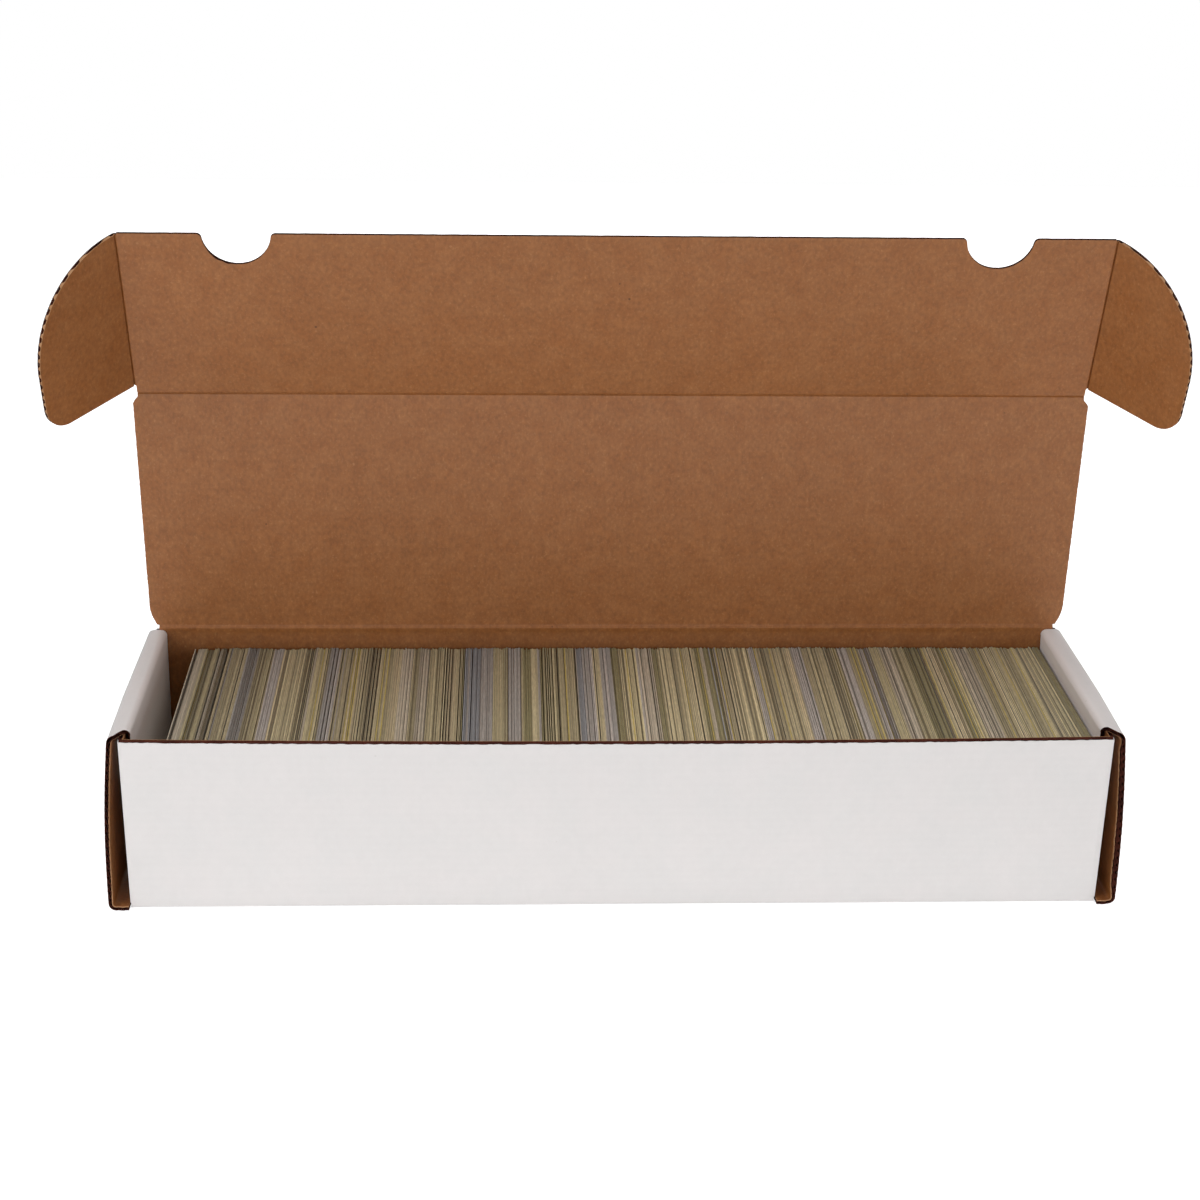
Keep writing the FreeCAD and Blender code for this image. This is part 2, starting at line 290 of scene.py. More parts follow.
def flutes(place, columns, start, end):
    # the medium: a thin sheet, straight along t; its middle is halfway between the liners minus a
    # cosine of the pitch, so that it meets the kraft liner at end
    half = paper["medium"] / 2
    low, high = paper["liner"] + half, board - paper["liner"] - half
    count = max(3, round((end - start) / paper["pitch"] * paper["perWave"]) + 1)
    s = np.linspace(start, end, count)
    t = columns(s)
    s = np.broadcast_to(s[:, None], t.shape)
    middle = (low + high) / 2 - (high - low) / 2 * np.cos(math.tau * (s - end) / paper["pitch"])
    return closedSheet(place, s, t, middle - half, middle + half, (mediumPaintedShadeFace,) * 3)


def corrugated(place, columns, rows, recess=paper["recess"], kraft=paper["liner"], whiteRim=whiteFace):
    # a board: columns(s) gives each row's places along the flutes, rows the places across them
    t = columns(rows)
    s = np.broadcast_to(rows[:, None], t.shape)

    def inner(places):  # the medium stops a little short of the cut edges
        found = columns(places)
        middle = found.mean(1, keepdims=True)
        return middle + (found - middle) * (1 - recess / np.abs(found - middle).max())
    return liners(place, s, t, kraft, whiteRim) + [flutes(place, inner, rows[0], rows[-1])]


def ragged(amount, seed, reach=400.0, spacing=1.3):
    # wobble of a cut edge: random values every 1.3 mm joined by straight lines
    values = np.random.default_rng(seed).uniform(-amount, amount, int(reach / spacing))
    places = np.arange(len(values)) * spacing - reach / 2
    return lambda x: np.interp(x, places, values)


def spread(low, high, count=2):  # evenly spaced columns from low to high in each row
    return low[:, None] + (high - low)[:, None] * np.linspace(0, 1, count)


def even(low, high, count=2):  # the same columns in every row
    return lambda s: spread(np.full(len(s), low), np.full(len(s), high), count)


def newPiece(name, mesh, body, replaced=()):
    piece = addObject(name, mesh)
    if body:
        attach(piece, body)
    if replaced:
        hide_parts(*replaced)
    return piece


def boardPiece(name, body, shells, replaced=()):
    starts = np.cumsum([0] + [len(points) for points, quads, kinds in shells])
    points = np.concatenate([shell[0] for shell in shells]) * toMetres
    quads = np.concatenate([shell[1] + start for shell, start in zip(shells, starts)])
    kinds = np.concatenate([shell[2] for shell in shells])
    mesh = bpy.data.meshes.new(name)
    mesh.from_pydata(points.tolist(), [], quads.tolist())
    for material in boardMaterials:
        mesh.materials.append(material)
    mesh.polygons.foreach_set("material_index", kinds.astype(np.int32))
    mesh.polygons.foreach_set("use_smooth", np.ones(len(quads), bool))
    mesh.set_sharp_from_angle(angle=math.radians(paper["sharpFrom"]))
    mesh.update()
    return newPiece(name, mesh, body, replaced)


def foldedPath(corners, radius, outward, sharp=0.0):
    # A line of the board's kraft side through the corners, each rounded by an arc of the radius.
    # Gives functions of the length along it: the place, and the direction towards the white side,
    # which is the run's direction turned a quarter, left for outward 1 and right for outward -1.
    # The direction is 1 + sharp (1 / cos(turn) - 1) (1 + r / board) long, so sharp 1 is a mitred corner.
    corners = np.array(corners, float)
    runs = np.diff(corners, axis=0)
    lengths = np.hypot(*runs.T)
    heading = np.unwrap(np.arctan2(runs[:, 1], runs[:, 0]))
    places, headings, lengthen = [corners[0]], [heading[0]], [1.0]
    radii = np.broadcast_to(radius, len(corners) - 2)
    for k, r in enumerate(radii):
        turn = heading[k + 1] - heading[k]
        cut = r * math.tan(abs(turn) / 2)
        begin = corners[k + 1] - runs[k] / lengths[k] * cut
        angles = heading[k] + turn * np.linspace(0, 1, paper["arcSteps"] + 1)
        side = math.copysign(r, turn)
        centre = begin + side * np.array([-math.sin(heading[k]), math.cos(heading[k])])
        arc = centre + side * np.stack([np.sin(angles), -np.cos(angles)], -1)
        places.extend(arc)
        headings.extend(angles)
        nearer = np.minimum(np.abs(angles - heading[k]), np.abs(angles - heading[k + 1]))
        lengthen.extend(1 + sharp * (1 / np.cos(nearer) - 1) * (1 + r / board))
    places = np.array(places + [corners[-1]])
    headings = np.array(headings + [heading[-1]])
    along = np.concatenate([[0], np.cumsum(np.hypot(*np.diff(places, axis=0).T))])
    normals = outward * np.stack([-np.sin(headings), np.cos(headings)], -1)
    normals = normals * np.array(lengthen + [1.0])[:, None]

    def at(length, w):
        x, y = (np.interp(length, along, places[:, k]) for k in (0, 1))
        u, v = (np.interp(length, along, normals[:, k]) for k in (0, 1))
        return x + u * w, y + v * w
    return at, along


def pressed(s, w, depth, width):
    # the kraft side moves by depth exp(-(s / width)^2), and the rest of the board in proportion
    dent = depth * np.exp(-(s / width) ** 2)
    return dent + w * (1 - dent / board)


# floor: flat, with the quarter folds that lead up into the front and back walls
floor = {"foldRadius": 0.4, "sharp": 0.6, "step": 0.6, "wider": 0.2, "pastWall": 0.2, "slotGap": 0.15,
         "slotOut": 0.05, "tabWidth": 24.0, "tabFromWall": 12.625}
tabHalf = floor["tabWidth"] / 2
tabAt = size["halfIn"] - floor["tabFromWall"] - tabHalf  # middle of a locking tab
cornerX = size["wallHalf"] + floor["pastWall"]  # where the floor turns into an end's fold


def floorBoard():
    half = size["halfIn"]
    rise = board + floor["foldRadius"]
    path, along = foldedPath([(-half, rise), (-half, board), (half, board), (half, rise)],
                             floor["foldRadius"], -1, floor["sharp"])
    arc = along[np.flatnonzero(np.diff(along) > half)[0]]
    total = along[-1]

    def place(s, t, w):
        return stack(t, *path(s, w))

    wallEnd = size["wallHalf"] - floor["step"]
    slotIn = size["innerFace"] - floor["slotGap"]
    slotOut = size["innerBack"] + floor["slotOut"]
    shells = []
    for start, end, wider in ((0, arc, floor["wider"]), (total - arc, total, 0)):
        rows = np.linspace(start, end, paper["arcSteps"] + 1)
        t = even(-wallEnd - wider, wallEnd)(rows)
        shells += liners(place, np.broadcast_to(rows[:, None], t.shape), t)
    whole = np.array([arc, total - arc])
    shells += corrugated(place, even(-slotIn, slotIn), whole)
    middle, slotHalf = total / 2, tabHalf + floor["slotGap"]
    near, far = tabAt - slotHalf, tabAt + slotHalf
    bridges = [(arc, middle - far), (middle - near, middle + near), (middle + far, total - arc)]
    for side in (-1, 1):
        for bridge in bridges:
            shells += corrugated(place, even(*sorted((side * slotIn, side * slotOut))),
                                 np.array(bridge), 0)
        shells += corrugated(place, even(*sorted((side * slotOut, side * cornerX))), whole, 0)
    boardPiece("floorBoard", "box", shells, ["bottom_panel"])


floorBoard()

# front and back walls, each with the two flaps that turn in behind the double ends
walls = {"stretch": 12.0, "foldRadius": 0.5, "sharp": 0.6, "rows": 5, "wallColumns": 24, "flapColumns": 6,
         "flapRoot": 0.15, "flapTaper": 4.0, "tornBack": 0.62, "tornWobble": 0.16, "tornColumns": 500,
         "seed": 51, "crushed": 1.25, "crushedFrom": (1.5, 0.7, 0.0)}
# the ridge that the back crease leaves on the kraft side: exp(-(s / width)^2), wider below it
ridge = {"height": 0.62, "above": 0.55, "below": 1.8, "skirt": 6.0, "skirtRows": 9, "ramp": 3.0}


def wallWithFlaps(name, row, top, bow, replaced):
    # row is -1 for the front, 1 for the back; the wall bows out by bow (1 - (x / half)^2) z / top
    half = size["halfIn"]
    corner, tip = size["flapInner"], row * -size["flapTip"]
    path, along = foldedPath([(-corner, tip), (-corner, row * half), (corner, row * half), (corner, tip)],
                             walls["foldRadius"], row, walls["sharp"])
    middle = along[-1] / 2
    wallHalf = middle - along[np.argmax(np.diff(along))]
    arcHalf, flapLength = middle - along[1], along[1]
    foot = board + floor["foldRadius"]

    def place(s, t, w):
        if row > 0:  # the wall swells inwards below the lid's crease
            inWall = np.clip((wallHalf - np.abs(t)) / ridge["ramp"], 0, 1)
            w = pressed(s - lidPivot[1], w, -ridge["height"] * inWall, ridge["below"])
        x, y = path(t + middle, w)
        if row < 0:  # the front wall's left end stands out, but not its flap
            past = 1 - np.clip((-t - wallHalf) / (arcHalf - wallHalf), 0, 1)
            x = x - floor["wider"] * smooth((walls["stretch"] - wallHalf - t) / walls["stretch"]) * past
        bowed = 1 - np.clip(x / corner, -1, 1) ** 2
        return stack(x, y + row * bow * bowed * s / top, s)

    arcPlaces = np.linspace(wallHalf, arcHalf, paper["arcSteps"] + 1)[1:]

    def wallPlaces(count):  # places along the wall, with the corner arcs
        return np.concatenate([-arcPlaces[::-1], np.linspace(-wallHalf, wallHalf, count), arcPlaces])
    nodes = wallPlaces(walls["wallColumns"] + 1)

    def wallColumns(s):
        return np.broadcast_to(nodes, (len(s), len(nodes)))

    if row > 0:
        skirt = top - ridge["skirt"]
        rows = np.concatenate([np.linspace(foot, skirt, walls["rows"]),
                               np.linspace(skirt, top, ridge["skirtRows"])[1:]])
        shells = corrugated(place, wallColumns, rows, 0)
    else:
        # the white liner is torn a little below the top, and the medium behind it is crushed
        rows = np.linspace(foot, top, walls["rows"])
        shells = corrugated(place, wallColumns, rows, 0)[::2]
        fine = wallPlaces(walls["tornColumns"])
        t = np.broadcast_to(fine, (3, len(fine)))
        torn = top - walls["tornBack"] + ragged(walls["tornWobble"], walls["seed"])(fine)
        s = np.stack([np.full(len(fine), foot), np.full(len(fine), (foot + top) / 2), torn])
        shells.append(closedSheet(place, s, t, board - paper["liner"], board,
                                  (mediumPaintedShadeFace, whiteFace, whiteFace)))
        # the crushed medium shows along the top edge in the darkened medium colour: painted shade
        s = np.repeat(top - np.array(walls["crushedFrom"])[:, None], len(fine), 1)
        shells.append(closedSheet(place, s, t, paper["liner"], walls["crushed"], (mediumPaintedShadeFace,) * 3))
    taper, head = walls["flapTaper"], flapHigh[2]
    root = taper * walls["flapRoot"]

    def flapColumns(side):
        def columns(s):
            # the flap's tip comes in as a slope near its head and its foot
            slope = np.minimum(head - s, s - foot) / taper
            reach = arcHalf + flapLength * np.clip(slope, walls["flapRoot"], 1)
            return side * spread(np.full(len(s), arcHalf), reach, walls["flapColumns"])
        return columns
    rows = np.array([foot, foot + root, foot + taper, head - taper, head - root, head])
    for side in (-1, 1):
        # the flap's white liner has a cut rim in the darkened medium colour: painted shade
        shells += corrugated(place, flapColumns(side), rows, 0, whiteRim=mediumPaintedShadeFace)
    boardPiece(name, "box", shells, replaced)


wallWithFlaps("frontWallBoard", -1, frontHigh[2], -frontLow[1] - size["halfOut"],
              ["front_wall", "front_left_flap", "front_right_flap"])
wallWithFlaps("backWallBoard", 1, size["backTop"], 0.0, ["back_wall", "back_left_flap", "back_right_flap"])
print("floor and walls folded")

# ends: one strip of board each, up from the floor, over the top and down inside, with two tabs
ends = {
    "radii": (1.3, 0.7, 0.6),  # of the folds at the foot, the top and the inner ply
    "bulge": {-1: 1.0, 1: 0.9}, "footOut": {-1: 1.5, 1: 0.9}, "arch": 0.15, "mitre": 7.5,
    "inward": {-1: (1.1, 1.1), 1: (2.0, 2.9)}, "earEnd": 10.0, "footForward": 2.1, "backRound": 3.0,
    "wobble": 0.20, "seed": {-1: 11, 1: 12}, "backStart": 60, "scallop": 0.14, "liner": 0.42,
    "topLiner": 0.12, "recess": 0.08, "columns": 9, "rowStep": 1.0, "plyLeast": 20.0, "tabGap": 0.15,
    "peeled": {-1: 0.8, 1: 3.4}, "peelWobble": 0.5, "peelSeed": {-1: 15, 1: 16}, "peelFade": 6.0,
}


def endBoard(side):
    # The path in the X-Z plane is the kraft side: floor, leaning outer ply, strip, inner ply. The outer
    # ply swells by bulge sin(pi z / top) and the strip arches by arch 4 f (1 - f).
    bottom, halfOut = size["stripBottom"], size["halfOut"]
    lean = size["endFoot"] - size["endTop"]
    footX = size["endFoot"] - board - lean * board / bottom + ends["footOut"][side]
    inside = size["innerBack"]
    path, along = foldedPath([(cornerX, board), (footX, board), (size["endTop"] - board, bottom),
                              (inside, bottom), (inside, board)], ends["radii"], -1)
    runs = np.flatnonzero(np.diff(along) > ends["plyLeast"])  # the outer and the inner ply
    outerStart, outerEnd = along[runs[0]], along[runs[0] + 1]
    innerStart, innerEnd = along[runs[-1]], along[-1]
    wobble = ragged(ends["wobble"], ends["seed"][side])

    def place(s, t, w):
        x, z = path(s, w)
        height = np.clip((s - outerStart) / (outerEnd - outerStart), 0, 1)
        x = x + ends["bulge"][side] * np.sin(np.pi * height)
        f = np.clip((s - outerEnd) / (innerStart - outerEnd), 0, 1)
        # towards the back the end's top has crept in, the outer ply less than the inner one
        outer, inner = ends["inward"][side]
        backwards = np.clip((t + halfOut) / (2 * halfOut), 0, 1)
        behindEar = np.clip((t + ends["earEnd"]) / (halfOut + ends["earEnd"]), 0, 1)
        up = np.clip(z / bottom, 0, 1)
        x = x - up * (outer * behindEar * (1 - f) + inner * backwards * f)
        return stack(side * x, t, z + ends["arch"] * 4 * f * (1 - f))

    def columns(s):
        front = np.interp(s, [outerStart, outerEnd, innerStart],
                          [-halfOut - ends["footForward"], -halfOut, ends["mitre"] - halfOut])
        front = np.where(s > innerStart, np.minimum(size["innerFront"], front), front)
        early = outerEnd - ends["backRound"]
        back = halfOut - (halfOut - size["stripBack"]) * smooth((s - early) / ends["backRound"])
        back = np.where(s > innerStart, size["innerRear"], back)
        scallop = ends["scallop"] * (1 + np.sin(math.tau * s / paper["pitch"]))
        return spread(front + np.abs(wobble(s)) + scallop, back - np.abs(wobble(s + ends["backStart"])),
                      ends["columns"])

    rows = np.unique(np.concatenate([along, np.arange(0, innerEnd, ends["rowStep"])]))
    # the kraft liner thins towards the fold at the top
    kraft = np.interp(rows, [outerEnd - 2 * ends["backRound"], outerEnd], [ends["liner"], ends["topLiner"]])
    kraft = np.repeat(kraft[:, None], ends["columns"], 1)
    # the white liner's cut rim takes the darkened medium colour: painted shade
    shells = corrugated(place, columns, rows, ends["recess"], kraft, mediumPaintedShadeFace)
    # and it has peeled back a little from the front edge of the outer ply
    peel = ends["peeled"][side] + ragged(ends["peelWobble"], ends["peelSeed"][side])(rows)
    ramp = ends["peelFade"]
    peel = peel * smooth((rows - outerStart) / ramp) * smooth((outerEnd - rows) / ramp)
    t = columns(rows)
    t = t + np.linspace(1, 0, ends["columns"]) * peel[:, None]
    s = np.broadcast_to(rows[:, None], t.shape)
    shells[0] = closedSheet(place, s, t, 0.0, kraft, (kraftFace, mediumPaintedShadeFace, rimFace))

    def tabPlace(s, t, w):
        return stack(side * (inside - w), t, board - (s - innerEnd))
    tabRows = np.array([innerEnd, innerEnd + board - ends["tabGap"]])
    for centre in (-tabAt, tabAt):
        shells += corrugated(tabPlace, even(centre - tabHalf, centre + tabHalf), tabRows, 0)
    word = sideWord[side]
    boardPiece(word + "EndBoard", "box", shells,
               [word + "_end_outer", word + "_end_top", word + "_end_inner"])


for side in (-1, 1):
    endBoard(side)
print("double ends rolled")

# lid
lid = {"cornerInset": 3.4, "cornerHeight": 10.5, "shoulder": 3.2, "shoulderRows": 13, "rowStep": 0.8,
       "wobble": 0.16, "seeds": (21, 22), "foldHalf": 0.55}
tuckEdge = earPivotX - lid["foldHalf"]  # side edge of the tuck flap, where the ear's crease begins


def leaned(x, y, z):  # a point of the upright lid, at the lid's resting lean
    return stack(x, *turned(y, z, lidPivot, lidLean))


def bent(x, y, z, bend=tuckBend):  # a point of the upright tuck flap, bent forward and leaned
    return leaned(x, *turned(y, z, (kraftY, lidTop), bend))


def standing(s, t, w):  # s up the lid from its crease, t along it
    return leaned(t, kraftY + w, lidPivot[1] + s)


def tucked(s, t, w):  # s up the tuck flap from its crease, t along it
    return bent(t, kraftY + w, lidTop + s)


def lidHalfWidth(s):
    # arc at the back corners, straight sides, and a smooth shoulder in to the tuck crease
    inset, height = lid["cornerInset"], lid["cornerHeight"]
    radius = (inset ** 2 + height ** 2) / (2 * inset)
    drop = np.clip(height - s, 0, height)
    half = size["lidHalf"] - (radius - np.sqrt(radius ** 2 - drop ** 2))
    near = smooth((s - (lidLength - creaseHalf - lid["shoulder"])) / lid["shoulder"])
    return half - (size["lidHalf"] - tuckEdge) * near


def lidBoard():
    left, right = (ragged(lid["wobble"], seed) for seed in lid["seeds"])
    start, end = creaseHalf, lidLength - creaseHalf

    def columns(s):
        half = lidHalfWidth(s)
        calm = np.clip((end - s) / lid["shoulder"], 0, 1)  # no wobble where the crease strip joins on
        return spread(-half + calm * np.abs(left(s)), half - calm * np.abs(right(s)), 3)
    shoulderStart = end - lid["shoulder"]
    rows = np.unique(np.concatenate([np.arange(start, shoulderStart, lid["rowStep"]), [shoulderStart],
                                     np.linspace(shoulderStart, end, lid["shoulderRows"])]))
    boardPiece("lidBoard", "lid", corrugated(standing, columns, rows), ["lid_panel"])


lidBoard()

# tuck flap; the rows run from the crease to the free edge, then close in over the pinch
tuck = {
    "notchFromSide": 44.5, "notchRadius": 12.9, "lipRadius": 1.9, "wobble": 0.10, "seed": 31,
    "lipSteps": 9, "notchSteps": 41, "edgeSteps": 120, "sideSteps": 20,
    "pinch": 1.3, "kraftPinch": 0.15, "whitePinch": 0.6,
    "rows": (0, 0.5, 1, 1, 1, 1), "rowsBack": (0, 0, 1, 0.6, 0.25, 0), "rowsPinched": (0, 0, 0, 0.2, 0.65, 1),
    "torn": 0.9, "tornFrom": 12.0, "tornTo": 0.5, "tornFade": 2.0, "tornSeed": 33,
}
notchX = earPivotX - tuck["notchFromSide"]


def freeEdge():
    # The tuck flap's outline as t and its height s: straight, and for each notch a lip arc, a half
    # circle centred on the edge and a lip arc. A lip touches both: its middle is at
    # x = sqrt(r^2 + 2 r lip), and it turns from straight up to asin(lip / (r + lip)) past level.
    r, lip, top = tuck["notchRadius"], tuck["lipRadius"], tuckLength
    reach = math.sqrt(r ** 2 + 2 * r * lip)
    turn = np.linspace(math.pi / 2, math.pi - math.asin(lip / (r + lip)), tuck["lipSteps"])
    lipT, lipS = reach + lip * np.cos(turn), top - lip + lip * np.sin(turn)
    side = math.acos(lip / (r + lip))
    around = np.linspace(-side, side, tuck["notchSteps"])[1:-1]
    edgeT = np.concatenate([-lipT, r * np.sin(around), lipT[::-1]])
    edgeS = np.concatenate([lipS, top - r * np.cos(around), lipS[::-1]])
    plain = np.linspace(reach - notchX, notchX - reach, tuck["edgeSteps"])[1:-1]
    sides = np.linspace(notchX + reach, tuckEdge, tuck["sideSteps"])[1:]
    t = np.concatenate([-sides[::-1], edgeT - notchX, plain, edgeT + notchX, sides])
    beside, between = np.full(len(sides), top), np.full(len(plain), top)
    return t, np.concatenate([beside, edgeS, between, edgeS, beside])


def tuckBoard():
    # both liners close in at the free edge, which the die has pinched; the medium stops short of it
    top, r, recess = tuckLength, tuck["notchRadius"], tuck["pinch"]
    t, s = freeEdge()
    s = s - np.abs(ragged(tuck["wobble"], tuck["seed"])(t))
    rows, back, amount = (np.array(tuck[key])[:, None] for key in ("rows", "rowsBack", "rowsPinched"))
    amount = amount * np.ones(len(t))
    gridT = np.broadcast_to(t, amount.shape)
    gridS = creaseHalf + (s - creaseHalf) * rows - back * tuck["pinch"]
    # where the kraft liner has torn back beside the left notch
    ramp = tuck["tornFade"]
    window = smooth((t + notchX + tuck["tornFrom"]) / ramp) * smooth((-notchX - tuck["tornTo"] - t) / ramp)
    torn = tuck["torn"] * window * np.clip(ragged(1.0, tuck["tornSeed"])(t), 0, 1)

    def pinched(s, t, w):
        if np.max(w) < board / 2:
            return tucked(s - torn * amount, t, w + tuck["kraftPinch"] * amount)
        return tucked(s, t, w - tuck["whitePinch"] * amount)
    # both liners' cut rims at the free edge take the darkened medium colour: painted shade
    shells = liners(pinched, gridS, gridT, whiteRim=mediumPaintedShadeFace, kraftRim=mediumPaintedShadeFace)

    def chord(s):  # half the notch's width at height s, at least 1 mm, and the recess
        return np.sqrt(np.clip(r ** 2 - (top - s) ** 2, 1.0, None)) + recess

    bottom = top - r - recess
    shells.append(flutes(tucked, even(-tuckEdge, tuckEdge), creaseHalf, bottom))
    # the flutes' ends beside and between the notches, each with its share of a chord
    for low, a, high, b in ((-tuckEdge, 0, -notchX, -1), (-notchX, 1, notchX, -1), (notchX, 1, tuckEdge, 0)):
        shells.append(flutes(tucked, lambda s: spread(low + a * chord(s), high + b * chord(s)),
                             bottom, top - recess))
    boardPiece("tuckFlapBoard", "tuck", shells, ["tuck_flap"])


tuckBoard()

# ears, folded in from the tuck flap's side edges
ears = {"length": 42.5, "foot": 3.5, "shoulder": 28.0, "cornerRadius": 10.0, "drop": 0.7,
        "footRows": 15, "headRows": 46, "headTurn": 87.5, "rowStep": 0.4, "leastWidth": 0.3,
        "wobble": 0.12, "seed": {-1: 41, 1: 42}, "tornDepth": 0.95, "tornReach": 0.5, "tornSteep": 2.0}
earTop = tuckLength - ears["drop"]


def earPlace(side, fold):
    # t runs out from the crease; the point is turned about the upright crease by its fold, then
    # bends and leans with the tuck flap: x = t cos f + w sin f, y = w cos f - t sin f
    def place(s, t, w):
        a = np.radians(fold(t) if callable(fold) else fold)
        x = side * (earPivotX + t * np.cos(a) + w * np.sin(a))
        y = kraftY + w * np.cos(a) - t * np.sin(a)
        return bent(x, y, lidTop + s)
    return place


def earReach(s):
    # quarter circle at the foot, a straight side, then a quarter ellipse up to the free edge
    r, foot, shoulder = ears["cornerRadius"], ears["foot"], ears["shoulder"]
    atFoot = ears["length"] - r + np.sqrt(np.clip(r ** 2 - (foot + r - s) ** 2, 0, None))
    rise = np.clip((s - shoulder) / (earTop - shoulder), 0, 1)
    onTop = ears["length"] * np.sqrt(1 - rise ** 2)
    return np.where(s < foot + r, atFoot, np.where(s < shoulder, ears["length"], onTop))


def earBoard(side):
    foot, shoulder, r = ears["foot"], ears["shoulder"], ears["cornerRadius"]
    wobble = ragged(ears["wobble"], ears["seed"][side])
    quarter = np.linspace(0, np.pi / 2, ears["footRows"])
    above = np.linspace(0, math.radians(ears["headTurn"]), ears["headRows"])
    rows = np.unique(np.concatenate([foot + r * (1 - np.cos(quarter)),
                                     np.arange(foot + r, earTop - 0.5, ears["rowStep"]),
                                     shoulder + (earTop - shoulder) * np.sin(above)]))

    def columns(s):
        outer = earReach(s) - np.abs(wobble(s))
        near = np.maximum(outer - ears["tornReach"], lid["foldHalf"] + ears["leastWidth"])
        return np.concatenate([spread(np.full(len(s), lid["foldHalf"]), near, 3), outer[:, None]], 1)
    # at the cut the kraft liner's torn fibres fill every other half flute
    fill = np.clip(np.sin(math.tau * rows / paper["pitch"]) * ears["tornSteep"], 0, 1)
    kraft = np.full((len(rows), 4), paper["liner"])
    kraft[:, 3] += fill * ears["tornDepth"]
    shells = corrugated(earPlace(side, earFold), columns, rows, kraft=kraft)
    word = sideWord[side]
    boardPiece(word + "EarBoard", word + "_ear_body", shells, [word + "_ear"])


for side in (-1, 1):
    earBoard(side)
print("lid, tuck flap and ears cut")

# creases: narrow strips of pressed board that bend between two panels
creases = {"tuckDepth": 0.42, "tuckWidth": 0.26, "earDepth": 0.75, "earWidth": 0.2, "rows": 17,
           "earRows": 40, "inside": 0.01}


def upward(degrees):  # unit vector up a panel that leans forward by an angle
    a = math.radians(degrees)
    return np.array([0, -math.sin(a), math.cos(a)])


def crease(name, shells, start, end):
    piece = boardPiece(name, None, shells)
    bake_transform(piece)


def levelCrease(name, place, half, pivot, lean, leanAfter):
    point = np.array([0, *pivot])
    rows = np.linspace(-creaseHalf, creaseHalf, creases["rows"])
    crease(name, corrugated(place, even(-half, half, 3), rows, 0),
           point - creaseHalf * upward(lean), point + creaseHalf * upward(leanAfter))


def partWay(s):  # 0 at the crease's lower side, 1 at its upper one
    return smooth((s + creaseHalf) / (2 * creaseHalf))


def backPlace(s, t, w):
    w = pressed(s, w, -ridge["height"], np.where(s < 0, ridge["below"], ridge["above"]))
    y, z = turned(kraftY + w, lidPivot[1] + s, lidPivot, lidLean * partWay(s))
    return stack(t, np.minimum(y, size["halfOut"] - creases["inside"]), z)


def tuckPlace(s, t, w):
    w = pressed(s, w, creases["tuckDepth"], creases["tuckWidth"])
    return bent(t, kraftY + w, lidTop + s, tuckBend * partWay(s))


levelCrease("backCreaseBoard", backPlace, lidHalfWidth(np.array([0.0]))[0], lidPivot,
            0, lidLean)
levelCrease("tuckCreaseBoard", tuckPlace, tuckEdge, tuckPivot, lidLean,
            lidLean + tuckBend)


def earCreaseStrip(side):
    half, middle = lid["foldHalf"], tuckLength / 2
    folded = earPlace(side, lambda t: earFold * smooth((t + half) / (2 * half)))

    def place(s, t, w):
        return folded(s, t, pressed(t, w, creases["earDepth"], creases["earWidth"]))
    rows = np.linspace(ears["foot"], earTop, creases["earRows"])
    shells = corrugated(place, even(-half, half, creases["rows"]), rows, 0)
    crease(sideWord[side] + "EarCreaseBoard", shells,
           earPlace(side, 0.0)(middle, -half, 0.0), earPlace(side, earFold)(middle, half, 0.0))


for side in (-1, 1):
    earCreaseStrip(side)
print("creases pressed")

# Coated card stock: the eye sees a close row of thin edges, greyish with a slight sheen, each card a
# little different where ink has run over its edge, in streaks drawn coarse enough to show; the faces
# have a pale border round a plain field.
cards = {
    "perPack": 100, "thickness": 0.33, "thicknessRange": (0.85, 1.15), "cornerRadius": 0.4,
    "leastRadius": 0.05, "cornerSteps": 2, "borderWidth": 2.6, "border": "#B5AFA4", "seed": 5,
    "batchLongest": 16, "gapMean": 0.05, "gapLeast": 0.015, "gapShare": 0.07, "gap": 0.34,
    "firstGaps": {1: 1.0, 22: 0.6, 28: 0.9}, "lastShift": 0.6, "lastFan": 2.4, "lastFanFrom": 0.7,
    "backShift": 0.4, "backJitter": 1.2, "looseBack": 1.0, "topShift": 0.3, "topJitter": 0.4,
    "looseTop": 0.45,
    "tints": ["#C6BA95", "#BDB28D", "#B6AB89", "#C4B694", "#AFA484", "#BBB19D", "#938C69"],
    "greys": ["#ACA7A0", "#A09D98", "#B4AEA7", "#94979A"], "greyShare": 0.46, "greyFall": 0.38,
    "yellow": "#C2B062", "yellowShare": 0.05, "yellowFirst": 0.3, "darkShare": 0.16, "dark": 0.40,
    "batchShade": (0.84, 1.10), "unevenAt": (0.0, 0.3, 0.6, 1.0), "uneven": (0.24, 0.16, 0.14, 0.18),
    # painted shade: a brightness ramp along the row, darker at its left end and lighter towards its right
    "paintedShadeAt": (0.0, 0.16, 0.5, 1.0), "ramp": (0.80, 0.99, 1.18, 1.16),
    "streakSize": 0.5, "streak": (1.0, 0.12, 1.0), "streakRange": (0.82, 1.14), "roughness": 0.5,
    "specular": 0.4,
}


